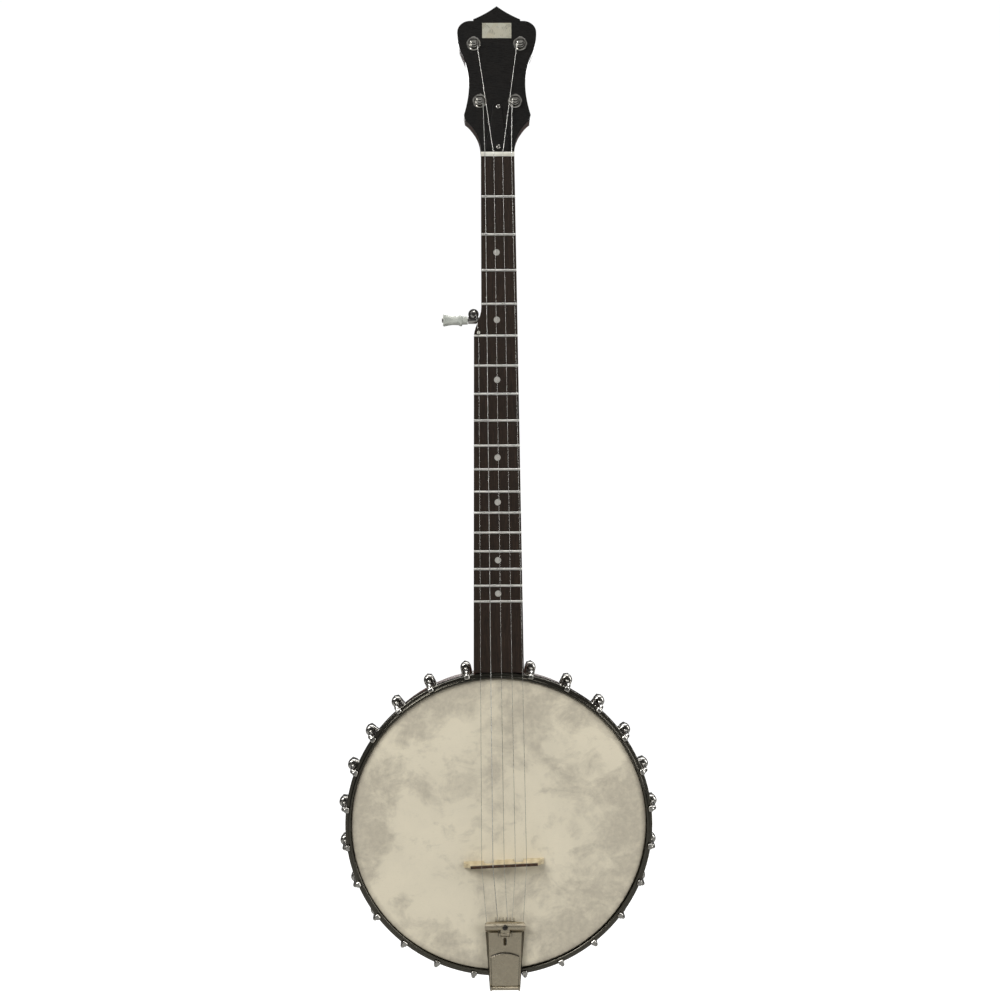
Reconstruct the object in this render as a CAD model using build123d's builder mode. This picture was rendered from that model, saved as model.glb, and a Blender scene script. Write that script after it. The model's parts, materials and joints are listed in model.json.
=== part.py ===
from build123d import *
from math import atan2, cos, radians, sin
import os

os.makedirs("parts", exist_ok=True)

# Open-back five-string banjo, upright: +Z runs up the neck, +X is the player's view right, and the
# front of the instrument faces -Y. The origin is the middle of the nut's front edge, level with the
# fingerboard's face. All sizes are in millimetres.

# ------------------------------------------------------------------ driving dimensions: scale
scale_length = 666.75          # nut to bridge, 26 1/4 in
fret_total = 17
neck_angle = 2.0               # the neck leans back from the head's plane
headstock_angle = 14.0         # the headstock leans back from the fingerboard

# ------------------------------------------------------------------ driving dimensions: neck
board_end = 484.2
board_thickness = 5.0
nut_half = 15.6
heel_half = 23.7
shoulder_half = 22.6           # left half-width just below the fifth peg
step_start = 141.0             # the left side swells between these two stations
step_end = 168.0
neck_side = 2.5                # flat side of the wood under the fingerboard
neck_depth = 20.5
heel_depth = 62.0
nut_length = 4.2
nut_height = 1.3
face_drop = 1.6                # headstock face below the fingerboard's face at the nut
fret_width = 2.3
fret_height = 1.0
fret_tang = 0.6
fret_tang_depth = 1.8
dot_radius = 2.95
dot_depth = 1.2
dot_spaces = (3, 5, 7, 10, 12, 15, 17)
pip_x = -18.3
pip_station = 164.3
pip_radius = 1.5

# ------------------------------------------------------------------ driving dimensions: headstock
overlay_thickness = 2.0
headstock_thickness = 15.0
headstock_length = 144.7
shoulder_width = 37.3
plate_width = 27.6
plate_height = 15.2
plate_station = 120.3
peg_places = ((-22.0, 106.9), (22.0, 106.9), (-16.6, 50.0), (16.6, 50.0))
button_turn = (90.0, 0.0, 90.0, 0.0)
rod_height = -10.5             # truss rod's axis below the fingerboard's face
rod_half = 2.95
pocket_middle = 23.5           # truss rod's pocket under its cover
pocket_length = 26.0
cover_screw_places = (4.3, 43.8)

# ------------------------------------------------------------------ driving dimensions: pegs
bushing_radius = 6.7
peg_hole_radius = 5.0
post_radius = 3.2
post_clearance = 0.05
post_top = 12.0
string_level = 6.5             # height of the string hole above the headstock's face
housing_radius = 6.9
housing_depth = 22.0
shaft_radius = 2.25
button_gap = 0.4
button_length = 19.0
fifth_post = (-22.9, -147.0)
fifth_mesh = 5.6               # distance between the post and the worm shaft
fifth_level = -9.5
fifth_post_radius = 1.9
worm_radius = 1.6
wheel_radius = 3.9
wheel_teeth = 12

# ------------------------------------------------------------------ driving dimensions: pot
pot_station = 630.3            # nut to the pot's centre along the fingerboard
board_above_head = 2.6
rim_radius = 139.5
rim_wall = 12.7
rim_top = -6.6
rim_back = -66.7
head_thickness = 0.4
tone_ring_radius = 3.1
hoop_inner = 140.35
hoop_outer = 145.7
hoop_lip = 3.2
hoop_shelf = 1.0
hoop_bottom = -8.7
hook_total_side = 12
hook_first = 12.0
hook_step = 14.4
hook_axis = 148.3
hook_wire = 1.9
hook_end = -52.0
shoe_middle = -39.0
shoe_height = 11.2
shoe_half = 5.2
nut_across = 7.9
bracket_nut_end = -54.6
screw_radius = 2.5

# ------------------------------------------------------------------ driving dimensions: bridge, tailpiece
bridge_shift = 4.5
bridge_turn = 2.5
bridge_height = 16.0
bridge_cap_height = 2.4
bridge_foot_half = 38.0
bridge_top_half = 31.8
tail_shift = 5.4
tail_front = -102.0
tail_back = -157.6
tail_top = 9.2
tail_sheet = 1.2
tail_bolt_level = -24.0
cover_hinge = (-155.2, 11.1)
bar_hinge = (-103.4, 10.2)
bar_front = -92.2
bar_back = -100.4
rod_level = -48.0
upper_bolt_level = -28.0
rod_radius = 4.75
stud_radius = 3.0

# ------------------------------------------------------------------ driving dimensions: strings
string_radius = (0.2, 0.2, 0.22, 0.3, 0.2)
nut_strings = (12.9, 4.5, -3.7, -11.9)
nut_string_level = 1.25
bridge_spacing = 10.6
bar_strings = (17.4, 6.8, 2.6, -6.8, -17.4)
hook_strings = (10.0, 5.0, 0.0, -5.0, -10.0)
bar_string_level = 6.9
tail_string_level = 6.5


# ------------------------------------------------------------------ reference planes
def leaning(origin, angle):
    """A plane facing the front, leaning back by an angle, with its y axis running up the neck."""
    tilt = radians(angle)
    return Plane(origin=origin, x_dir=(1, 0, 0), z_dir=(0, -cos(tilt), sin(tilt)))


neck = leaning((0, 0, 0), neck_angle)
headstock = leaning(
    neck.from_local_coords((0, nut_length, -face_drop)), neck_angle + headstock_angle
)
head_y = -board_end * sin(radians(neck_angle)) + board_above_head
pot_z = -pot_station * cos(radians(neck_angle))
pot = leaning((0, head_y, pot_z), 0)
pot_axis = Axis(pot.origin, pot.z_dir)
pot_section = Plane(origin=pot.origin, x_dir=(1, 0, 0), z_dir=(0, 0, -1))
tail = leaning((tail_shift, head_y, pot_z), 0)


def write(piece, node):
    """Names a finished piece and writes it as its own STEP file."""
    piece.part.label = node
    export_step(piece.part, f"parts/{node}.step")


def section_plane(station):
    """A plane across the neck at a distance down from the nut, with y out of the fingerboard."""
    return Plane(
        origin=neck.from_local_coords((0, -station, 0)), x_dir=(1, 0, 0), z_dir=-neck.y_dir
    )


def side_plane(frame, x=0.0):
    """The plane across X at x in a frame: its x axis runs up the frame and its y axis out of it."""
    return Plane(
        origin=frame.from_local_coords((x, 0, 0)), x_dir=frame.y_dir, z_dir=frame.x_dir
    )


def fret_station(number):
    """The distance of a fret from the nut."""
    return scale_length * (1 - 2 ** (-number / 12))


def dot_place(space, height):
    """The middle of the space before a fret, in the neck's frame."""
    middle = (fret_station(space - 1) + fret_station(space)) / 2
    return (-1.5 + middle / 400, -middle, height)


# ------------------------------------------------------------------ neck outline
def right_edge(station):
    return nut_half + (heel_half - nut_half) * station / board_end


def left_edge(station):
    """The left side: narrow above the fifth peg, swelling smoothly to full width below it."""
    lower_run = (station - step_end) / (board_end - step_end)
    lower = -shoulder_half - (heel_half - shoulder_half) * lower_run
    run = min(max((station - step_start) / (step_end - step_start), 0.0), 1.0)
    blend = run * run * (3 - 2 * run)
    return -nut_half + (lower + nut_half) * blend


def board_outline():
    step_stations = [step_start + (step_end - step_start) * i / 6 for i in range(7)]
    with BuildSketch(neck.offset(-board_thickness)) as outline:
        with BuildLine():
            Spline(
                *[(left_edge(s), -s) for s in step_stations],
                tangents=((0, -1), (0, -1)),
            )
            Polyline(
                (left_edge(step_end), -step_end),
                (left_edge(board_end), -board_end),
                (right_edge(board_end), -board_end),
                (nut_half, 0),
                (-nut_half, 0),
                (-nut_half, -step_start),
            )
        make_face()
    return outline.sketch


def neck_profile(station, depth, fullness):
    """A section of the neck's wood: flat under the fingerboard, short flat sides, rounded back."""
    left = left_edge(station)
    right = right_edge(station)
    middle = (left + right) / 2
    spread = fullness * (right - left) / 2
    side = -board_thickness - neck_side
    shoulder = side - fullness * (depth + side)
    with BuildSketch(section_plane(station)) as profile:
        with BuildLine():
            Line((left, -board_thickness), (right, -board_thickness))
            Line((right, -board_thickness), (right, side))
            Bezier((right, side), (right, shoulder), (middle + spread, -depth), (middle, -depth))
            Bezier((middle, -depth), (middle - spread, -depth), (left, shoulder), (left, side))
            Line((left, side), (left, -board_thickness))
        make_face()
    return profile.sketch


def headstock_outline(plane):
    """Waisted headstock with rounded shoulders and a low pointed crown."""
    with BuildSketch(plane) as outline:
        with BuildLine():
            Line((0, 0), (nut_half, 0))
            Spline(
                (nut_half, 0),
                (16.1, 6.8),
                (19.0, 16.9),
                (23.3, 24.0),
                (30.3, 31.4),
                tangents=((0, 1), (1, 0.75)),
            )
            Line((30.3, 31.4), (31.3, 36.5))
            Spline(
                (31.3, 36.5),
                (27.8, 51.5),
                (26.6, 71.6),
                (30.5, 91.5),
                (shoulder_width, 118.5),
                tangents=((-0.3, 1), (0, 1)),
            )
            EllipticalCenterArc((25.0, 118.5), shoulder_width - 25.0, 11.5, start_angle=0, arc_size=90)
            Polyline((25.0, 130.0), (22.2, 130.0), (22.2, 131.6))
            ThreePointArc((22.2, 131.6), (11.6, 136.9), (0, headstock_length))
            mirror(about=Plane.YZ)
        make_face()
    return outline.sketch


# ------------------------------------------------------------------ neck
step_quarter = (step_end - step_start) / 4
upper_profiles = [neck_profile(s, neck_depth, 0.56) for s in (-24.0, step_start)]
step_profiles = [
    neck_profile(step_start + step_quarter * i, neck_depth + 0.2 * i, 0.56) for i in range(5)
]
lower_profiles = [neck_profile(step_end, neck_depth + 0.8, 0.56), neck_profile(425.0, 24.0, 0.54)]
heel_profiles = [
    neck_profile(425.0, 24.0, 0.54),
    neck_profile(440.0, 28.0, 0.5),
    neck_profile(452.0, 39.0, 0.44),
    neck_profile(463.0, 52.0, 0.38),
    neck_profile(496.0, heel_depth, 0.33),
]
rim_seat = rim_radius + 0.05

with BuildSketch(pot_section) as pot_envelope:
    with BuildLine():
        Polyline(
            (0, -80),
            (rim_seat, -80),
            (rim_seat, hoop_bottom - 4.6),
            (hoop_outer + 0.5, hoop_bottom - 4.6),
            (hoop_outer + 0.5, 15),
            (0, 15),
            close=True,
        )
    make_face()

with BuildPart() as neck_wood:
    loft(sections=upper_profiles, ruled=True)
    loft(sections=step_profiles)
    loft(sections=lower_profiles, ruled=True)
    loft(sections=heel_profiles)
    extrude(headstock_outline(headstock.offset(-headstock_thickness)), amount=headstock_thickness)
    with BuildSketch(headstock.offset(-overlay_thickness)):
        with Locations((0, 80)):
            Rectangle(120, 160)
    extrude(amount=30, mode=Mode.SUBTRACT)
    with BuildSketch(neck.offset(-board_thickness)):
        with Locations((0, nut_length / 2)):
            Rectangle(50, nut_length)
    extrude(amount=20, mode=Mode.SUBTRACT)
    revolve(pot_envelope.sketch, axis=pot_axis, revolution_arc=360, mode=Mode.SUBTRACT)
    with BuildSketch(pot.offset(-heel_depth - 6)):
        with Locations((0, 155)):
            Rectangle(80, 60)
    extrude(amount=-20, mode=Mode.SUBTRACT)
    with BuildSketch(neck.offset(-board_thickness)):
        with Locations((0, -213)):
            Rectangle(2 * rod_half, 414)
    extrude(amount=rod_height - rod_half + board_thickness, mode=Mode.SUBTRACT)
    with BuildSketch(neck.offset(rod_height - 5.0)):
        with Locations((0, pocket_middle)):
            SlotOverall(pocket_length, 11, rotation=90)
    extrude(amount=20, mode=Mode.SUBTRACT)
    with Locations(neck):
        with Locations((0, 4.0, rod_height)):
            Cylinder(2.45, 24, rotation=(90, 0, 0), mode=Mode.SUBTRACT)
    with Locations(headstock):
        with Locations(*peg_places):
            Cylinder(peg_hole_radius, 60, mode=Mode.SUBTRACT)
        with Locations(*[(0.7, y) for y in cover_screw_places]):
            Cylinder(1.0, 16, mode=Mode.SUBTRACT)
    with Locations(pot):
        with Locations((0, 142.2, upper_bolt_level), (0, 136.2, rod_level)):
            Cylinder(stud_radius + 0.03, 50, rotation=(90, 0, 0), mode=Mode.SUBTRACT)
    with Locations(neck):
        with Locations((-14.0, fifth_post[1] - fifth_mesh, fifth_level)):
            Cylinder(2.93, 12, rotation=(0, 90, 0), mode=Mode.SUBTRACT)
        with Locations((pip_x, -pip_station, -board_thickness)):
            Cylinder(0.8, 6, mode=Mode.SUBTRACT)
write(neck_wood, "neck")

# ------------------------------------------------------------------ fingerboard, frets, dots, nut
with BuildPart() as fingerboard:
    extrude(board_outline(), amount=board_thickness)
    with Locations(neck):
        for number in range(1, fret_total + 1):
            with Locations((0, -fret_station(number), -fret_tang_depth / 2)):
                Box(60, fret_tang, fret_tang_depth, mode=Mode.SUBTRACT)
        with Locations(*[dot_place(space, -dot_depth / 2) for space in dot_spaces]):
            Cylinder(dot_radius, dot_depth, mode=Mode.SUBTRACT)
        with Locations((pip_x, -pip_station, -board_thickness / 2)):
            Cylinder(0.8, board_thickness, mode=Mode.SUBTRACT)
write(fingerboard, "fingerboard")

with BuildPart() as frets:
    for number in range(1, fret_total + 1):
        station = fret_station(number)
        left = left_edge(station) + 0.15
        right = right_edge(station) - 0.15
        with BuildSketch(side_plane(neck, left)):
            with Locations((-station, 0)):
                Ellipse(fret_width / 2, fret_height)
                Rectangle(fret_width + 1, 2, align=(Align.CENTER, Align.MAX), mode=Mode.SUBTRACT)
                Rectangle(fret_tang, fret_tang_depth, align=(Align.CENTER, Align.MAX))
        extrude(amount=right - left)
write(frets, "frets")

with BuildPart() as position_dots:
    with Locations(neck):
        with Locations(*[dot_place(space, 0.03 - dot_depth / 2) for space in dot_spaces]):
            Cylinder(dot_radius, dot_depth)
write(position_dots, "position_dots")


def string_at_bridge(index):
    """String positions across the bridge, from the first (right) to the fifth (left)."""
    return bridge_spacing * (2 - index)


with BuildPart() as nut:
    with BuildSketch(side_plane(neck, -nut_half - 0.1)):
        with BuildLine():
            Polyline(
                (0, -board_thickness),
                (nut_length, -board_thickness),
                (nut_length, 0.2),
                (2.6, nut_height),
                (0, nut_height),
                close=True,
            )
        make_face()
    extrude(amount=2 * nut_half + 0.2)
    with Locations(neck):
        for index, x in enumerate(nut_strings):
            slot = string_radius[index] + 0.2
            with Locations((x, nut_length / 2, nut_string_level + 1.0)):
                Box(2 * slot, nut_length + 1, 2 * (1.0 + slot), mode=Mode.SUBTRACT)
write(nut, "nut")

with BuildPart() as fifth_string_pip:
    with Locations(neck):
        with Locations((pip_x, -pip_station, 0)):
            Cylinder(pip_radius, 2.0, align=(Align.CENTER, Align.CENTER, Align.MIN))
            Cylinder(0.78, 6.5, align=(Align.CENTER, Align.CENTER, Align.MAX))
        with Locations((pip_x, -pip_station, 2.0)):
            Box(0.6, 6, 1.5, mode=Mode.SUBTRACT)
write(fifth_string_pip, "fifth_string_pip")

# ------------------------------------------------------------------ truss rod
with BuildPart() as truss_rod:
    with BuildSketch(section_plane(6.2)):
        with Locations((0, rod_height + 0.8)):
            RectangleRounded(2 * rod_half - 0.04, 2 * rod_half + 1.3, 1.0)
    extrude(amount=413.4)
    with Locations(neck):
        with Locations((0, 4.6, rod_height)):
            Cylinder(2.4, 26, rotation=(90, 0, 0))
write(truss_rod, "truss_rod")

with BuildPart() as truss_rod_nut:
    with BuildSketch(section_plane(-22.0)):
        with Locations((0, rod_height)):
            RegularPolygon(4.2, 6)
            Circle(2.42, mode=Mode.SUBTRACT)
    extrude(amount=9.0)
    with BuildSketch(section_plane(-22.0)):
        with Locations((0, rod_height)):
            Circle(3.2)
            RegularPolygon(2.4, 6, mode=Mode.SUBTRACT)
    extrude(amount=-4.0)
write(truss_rod_nut, "truss_rod_nut")

# ------------------------------------------------------------------ headstock face
with BuildPart() as headstock_overlay:
    extrude(headstock_outline(headstock), amount=-overlay_thickness)
    with BuildSketch(headstock):
        Rectangle(60, 1.3)
    extrude(amount=-overlay_thickness, mode=Mode.SUBTRACT)
    with BuildSketch(neck.offset(rod_height - 5.0)):
        with Locations((0, pocket_middle)):
            SlotOverall(pocket_length, 11, rotation=90)
    extrude(amount=20, mode=Mode.SUBTRACT)
    with Locations(headstock):
        with Locations(*peg_places):
            Cylinder(peg_hole_radius, 20, mode=Mode.SUBTRACT)
        with Locations(*[(0.7, y) for y in cover_screw_places]):
            Cylinder(1.0, 16, mode=Mode.SUBTRACT)
        with Locations((0, plate_station, 0)):
            Box(plate_width, plate_height, 1.6, mode=Mode.SUBTRACT)
write(headstock_overlay, "headstock_overlay")

with BuildPart() as name_plate:
    with Locations(headstock):
        with Locations((0, plate_station, -0.35)):
            Box(plate_width - 0.06, plate_height - 0.06, 0.9)
write(name_plate, "name_plate")

with BuildPart() as truss_rod_cover:
    with BuildSketch(headstock):
        with BuildLine():
            Line((0, 1.2), (11.5, 1.2))
            Line((11.5, 1.2), (11.0, 9.0))
            Spline((11.0, 9.0), (7.6, 20.0), (5.6, 34.0), (4.8, 43.0), tangents=((-0.1, 1), (0, 1)))
            ThreePointArc((4.8, 43.0), (3.4, 46.9), (0, 48.5))
            mirror(about=Plane.YZ)
        make_face()
    extrude(amount=1.8, taper=18)
    with Locations(headstock):
        with Locations(*[(0.7, y) for y in cover_screw_places]):
            Cylinder(1.0, 8, mode=Mode.SUBTRACT)
write(truss_rod_cover, "truss_rod_cover")

with BuildPart() as cover_screw:
    Cylinder(0.95, 7.0, align=(Align.CENTER, Align.CENTER, Align.MAX))
    Cylinder(2.0, 1.1, align=(Align.CENTER, Align.CENTER, Align.MIN))
    fillet(cover_screw.faces().sort_by(Axis.Z)[-1].edges(), 0.6)
    with Locations((0, 0, 1.1)):
        Box(3.0, 0.5, 0.9, mode=Mode.SUBTRACT)
        Box(0.5, 3.0, 0.9, mode=Mode.SUBTRACT)

with BuildPart() as truss_cover_screws:
    with Locations(headstock):
        with Locations(*[(0.7, y, 1.8) for y in cover_screw_places]):
            add(cover_screw.part)
write(truss_cover_screws, "truss_cover_screws")


# ------------------------------------------------------------------ headstock pegs
def lathe(points):
    """A turned solid about Z from a profile of (radius, height) points."""
    with BuildPart() as turned:
        with BuildSketch(Plane.XZ):
            with BuildLine():
                Polyline(*points, close=True)
            make_face()
        revolve(axis=Axis.Z, revolution_arc=360)
    return turned.part


post_bore = post_radius + post_clearance
shaft_bore = shaft_radius + post_clearance
housing_top = -headstock_thickness
housing_end = housing_top - housing_depth
post_foot = housing_top - 10.5
button_top = housing_end - button_gap

bushing_shape = lathe(
    [
        (post_bore, -6.0),
        (peg_hole_radius - 0.03, -6.0),
        (peg_hole_radius - 0.03, 0.0),
        (bushing_radius, 0.0),
        (bushing_radius, 0.7),
        (bushing_radius - 0.6, 1.3),
        (bushing_radius - 1.5, 1.3),
        (bushing_radius - 1.9, 1.0),
        (bushing_radius - 2.3, 1.0),
        (bushing_radius - 2.4, 2.6),
        (bushing_radius - 2.8, 3.0),
        (post_bore, 3.0),
    ]
)
housing_shape = lathe(
    [
        (post_bore, -6.1),
        (post_bore, post_foot - 0.5),
        (shaft_bore, post_foot - 0.5),
        (shaft_bore, housing_end),
        (housing_radius - 1.2, housing_end),
        (housing_radius, housing_end + 1.2),
        (housing_radius, housing_top - 3.4),
        (housing_radius - 0.5, housing_top - 3.0),
        (housing_radius - 0.5, housing_top - 2.0),
        (housing_radius + 1.1, housing_top - 1.6),
        (housing_radius + 1.1, housing_top),
        (peg_hole_radius - 0.03, housing_top),
        (peg_hole_radius - 0.03, -6.1),
    ]
)
post_shape = lathe(
    [
        (0, post_foot),
        (post_radius, post_foot),
        (post_radius, 4.4),
        (post_radius - 0.9, 5.4),
        (post_radius - 0.9, 7.8),
        (post_radius, 8.8),
        (post_radius, post_top - 0.9),
        (post_radius - 0.9, post_top),
        (0, post_top),
    ]
)

with BuildPart() as peg_bushings:
    with Locations(headstock):
        with Locations(*peg_places):
            add(bushing_shape)
write(peg_bushings, "peg_bushings")


def button_shape():
    """Waisted peg button: a round collar that widens into a flattened keystone paddle."""
    end = button_top - button_length
    with BuildPart() as button:
        with BuildSketch(Plane.XY.offset(button_top)):
            Circle(5.2)
        with BuildSketch(Plane.XY.offset(button_top - 3.0)):
            Circle(4.6)
        with BuildSketch(Plane.XY.offset(button_top - 9.0)):
            Ellipse(7.2, 4.2)
        with BuildSketch(Plane.XY.offset(end)):
            Ellipse(9.6, 4.4)
        loft()
        fillet(button.faces().sort_by(Axis.Z)[0].edges(), 1.4)
        with Locations((0, 0, button_top)):
            Cylinder(shaft_radius, 2 * button_length - 4, mode=Mode.SUBTRACT)
        with Locations((0, 0, end)):
            Cylinder(1.2, 2 * button_length, mode=Mode.SUBTRACT)
    return button.part


button_part = button_shape()
shaft_part = lathe(
    [
        (0, button_top - button_length + 2.0),
        (shaft_radius, button_top - button_length + 2.0),
        (shaft_radius, post_foot - 1.2),
        (0, post_foot - 1.2),
    ]
)
screw_end = button_top - button_length
shaft_screw = lathe(
    [
        (0, screw_end + 2.0),
        (1.18, screw_end + 2.0),
        (1.18, screw_end),
        (2.6, screw_end),
        (2.6, screw_end - 0.7),
        (1.9, screw_end - 1.3),
        (0, screw_end - 1.3),
    ]
)

for number, (peg_x, peg_y) in enumerate(peg_places, start=1):
    place = headstock.location * Location((peg_x, peg_y, 0))
    turned_place = place * Location((0, 0, 0), (0, 0, button_turn[number - 1]))

    with BuildPart() as peg_housing:
        with Locations(place):
            add(housing_shape)
    write(peg_housing, f"peg_housing_{number}")

    with BuildPart() as peg_post:
        with Locations(place):
            add(post_shape)
            with Locations((0, 0, string_level)):
                Cylinder(0.7, 10, rotation=(90, 0, 0), mode=Mode.SUBTRACT)
            with Locations((0, 0, post_top)):
                Box(10, 1.0, 2.4, mode=Mode.SUBTRACT)
    write(peg_post, f"peg_post_{number}")

    with BuildPart() as peg_button:
        with Locations(turned_place):
            add(button_part)
    write(peg_button, f"peg_button_{number}")

    with BuildPart() as peg_shaft:
        with Locations(turned_place):
            add(shaft_part)
            add(shaft_screw)
            with Locations((0, 0, screw_end - 1.3)):
                Box(6, 0.7, 1.2, mode=Mode.SUBTRACT)
    write(peg_shaft, f"peg_shaft_{number}")

# ------------------------------------------------------------------ fifth peg
fifth_x, fifth_y = fifth_post
worm_y = fifth_y - fifth_mesh
case_left = -28.0
case_right = -20.2
case_top = -5.0
case_bottom = -14.0

with BuildPart() as fifth_peg_housing:
    with Locations(neck):
        with Locations((fifth_x, fifth_y, case_bottom)):
            Cylinder(4.9, case_top - case_bottom, align=(Align.CENTER, Align.CENTER, Align.MIN))
        with Locations(((case_left + case_right) / 2, worm_y, fifth_level)):
            Cylinder(3.5, case_right - case_left, rotation=(0, 90, 0))
        with Locations(((case_right - 9.0) / 2, worm_y, fifth_level)):
            Cylinder(2.9, -9.0 - case_right, rotation=(0, 90, 0))
        with Locations((fifth_x, fifth_y, fifth_level)):
            Cylinder(wheel_radius + 0.2, 5.0, mode=Mode.SUBTRACT)
        with Locations((fifth_x, fifth_y, fifth_level)):
            Cylinder(fifth_post_radius + 0.05, 30, mode=Mode.SUBTRACT)
        with Locations((case_left - 1.0, worm_y, fifth_level)):
            Cylinder(
                worm_radius + 0.05,
                case_right - case_left + 0.8,
                rotation=(0, 90, 0),
                align=(Align.CENTER, Align.CENTER, Align.MIN),
                mode=Mode.SUBTRACT,
            )
write(fifth_peg_housing, "fifth_peg_housing")

fifth_post_shape = lathe(
    [
        (0, case_bottom + 0.3 - fifth_level),
        (fifth_post_radius, case_bottom + 0.3 - fifth_level),
        (fifth_post_radius, -2.3),
        (wheel_radius, -2.3),
        (wheel_radius, 2.3),
        (fifth_post_radius, 2.3),
        (fifth_post_radius, 4.9),
        (3.3, 4.9),
        (3.3, 5.9),
        (2.4, 6.6),
        (2.0, 8.2),
        (1.7, 9.6),
        (1.7, 10.8),
        (2.5, 12.0),
        (2.5, 13.4),
        (1.9, 14.0),
        (0, 14.0),
    ]
)
with BuildPart() as fifth_peg_post:
    with Locations(neck):
        with Locations((fifth_x, fifth_y, fifth_level)):
            add(fifth_post_shape)
            with PolarLocations(wheel_radius + 0.1, wheel_teeth):
                Cylinder(0.5, 4.8, mode=Mode.SUBTRACT)
            with Locations((0, 0, 10.2)):
                Cylinder(0.5, 10, rotation=(90, 0, 0), mode=Mode.SUBTRACT)
write(fifth_peg_post, "fifth_peg_post")

button_inner = case_left - 0.4
button_outer = -51.5
worm_plane = Plane(
    origin=neck.from_local_coords((0, worm_y, fifth_level)), x_dir=(1, 0, 0), z_dir=neck.z_dir
)
with BuildPart() as fifth_peg_button:
    with BuildSketch(worm_plane):
        with BuildLine():
            Polyline(
                (button_outer, 1.22),
                (button_inner, 1.22),
                (button_inner, 4.0),
                (-33.4, 4.2),
                (-33.9, 5.6),
                (-35.4, 5.6),
                (-36.6, 4.7),
            )
            Spline(
                (-36.6, 4.7),
                (-41.0, 4.5),
                (-46.0, 4.9),
                (button_outer + 0.9, 5.9),
                tangents=((-1, -0.1), (-1, 0.25)),
            )
            Polyline((button_outer + 0.9, 5.9), (button_outer, 5.2), (button_outer, 1.22))
        make_face()
    revolve(axis=Axis(worm_plane.origin, (1, 0, 0)), revolution_arc=360)
    with Locations(worm_plane):
        with Locations((-40, 0, 9.4), (-40, 0, -9.4)):
            Box(40, 20, 10, mode=Mode.SUBTRACT)
write(fifth_peg_button, "fifth_peg_button")

fifth_shaft_shape = lathe(
    [
        (0, 20.8),
        (worm_radius, 20.8),
        (worm_radius, -button_inner - 0.2),
        (1.2, -button_inner - 0.2),
        (1.2, -button_outer),
        (2.3, -button_outer),
        (2.3, -button_outer + 0.6),
        (1.7, -button_outer + 1.1),
        (0, -button_outer + 1.1),
    ]
)
with BuildPart() as fifth_peg_shaft:
    with Locations(neck.location * Location((0, worm_y, fifth_level), (0, -90, 0))):
        add(fifth_shaft_shape)
write(fifth_peg_shaft, "fifth_peg_shaft")


# ------------------------------------------------------------------ pot: rim, rings, head
def ring_profile(points, rounding=0.0):
    """A ring's section from (radius, height above the head) points, with rounded corners."""
    with BuildSketch(pot_section) as profile:
        with BuildLine():
            Polyline(*points, close=True)
        make_face()
        if rounding:
            fillet(profile.vertices(), rounding)
    return profile.sketch


bracket_angles = [hook_first + hook_step * i for i in range(hook_total_side)]
bracket_turns = [90 - side * angle for side in (1, -1) for angle in bracket_angles]
bracket_places = [Location((0, 0, 0), (0, 0, turn)) for turn in bracket_turns]
rim_inner = rim_radius - rim_wall

with BuildPart() as radial_drill:
    with Locations((rim_radius - rim_wall / 2, 0, shoe_middle)):
        Cylinder(screw_radius + 0.02, rim_wall + 4, rotation=(0, 90, 0))

with BuildPart() as rim:
    revolve(
        ring_profile(
            [
                (rim_inner, rim_back),
                (rim_radius, rim_back),
                (rim_radius, rim_top),
                (rim_inner, rim_top),
            ],
            0.8,
        ),
        axis=pot_axis,
        revolution_arc=360,
    )
    with Locations(pot):
        with Locations(*bracket_places):
            add(radial_drill.part, mode=Mode.SUBTRACT)
        with Locations((0, 133, upper_bolt_level), (0, 133, rod_level), (0, -133, rod_level)):
            Cylinder(stud_radius + 0.03, 30, rotation=(90, 0, 0), mode=Mode.SUBTRACT)
        with Locations((tail_shift, -133, tail_bolt_level)):
            Cylinder(screw_radius + 0.03, 30, rotation=(90, 0, 0), mode=Mode.SUBTRACT)
write(rim, "rim")

with BuildPart() as tone_ring:
    with BuildSketch(pot_section):
        with Locations((rim_radius - tone_ring_radius, -head_thickness - tone_ring_radius)):
            Circle(tone_ring_radius)
    revolve(axis=pot_axis, revolution_arc=360)
write(tone_ring, "tone_ring")

head_inner = rim_radius + 0.05
head_outer = head_inner + head_thickness
flesh_outer = head_outer + 4.0
flesh_top = hoop_bottom
flesh_bottom = flesh_top - 4.0
with BuildPart() as head:
    with BuildSketch(pot_section):
        with BuildLine():
            Line((0, 0), (head_outer - 1.4, 0))
            RadiusArc((head_outer - 1.4, 0), (head_outer, -1.4), 1.4)
            Polyline(
                (head_outer, -1.4),
                (head_outer, flesh_bottom),
                (head_inner, flesh_bottom),
                (head_inner, -1.4),
            )
            RadiusArc((head_inner, -1.4), (head_outer - 1.4, -head_thickness), -1.0)
            Polyline((head_outer - 1.4, -head_thickness), (0, -head_thickness), (0, 0))
        make_face()
    revolve(axis=pot_axis, revolution_arc=360)
write(head, "head")

with BuildPart() as flesh_hoop:
    revolve(
        ring_profile(
            [
                (head_outer, flesh_bottom),
                (flesh_outer, flesh_bottom),
                (flesh_outer, flesh_top),
                (head_outer, flesh_top),
            ]
        ),
        axis=pot_axis,
        revolution_arc=360,
    )
write(flesh_hoop, "flesh_hoop")

with BuildPart() as tension_hoop:
    revolve(
        ring_profile(
            [
                (hoop_inner, hoop_bottom),
                (hoop_outer, hoop_bottom),
                (hoop_outer, hoop_shelf),
                (hoop_inner + 2.0, hoop_shelf),
                (hoop_inner + 2.0, hoop_lip),
                (hoop_inner, hoop_lip),
            ],
            0.5,
        ),
        axis=pot_axis,
        revolution_arc=360,
    )
write(tension_hoop, "tension_hoop")

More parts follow.
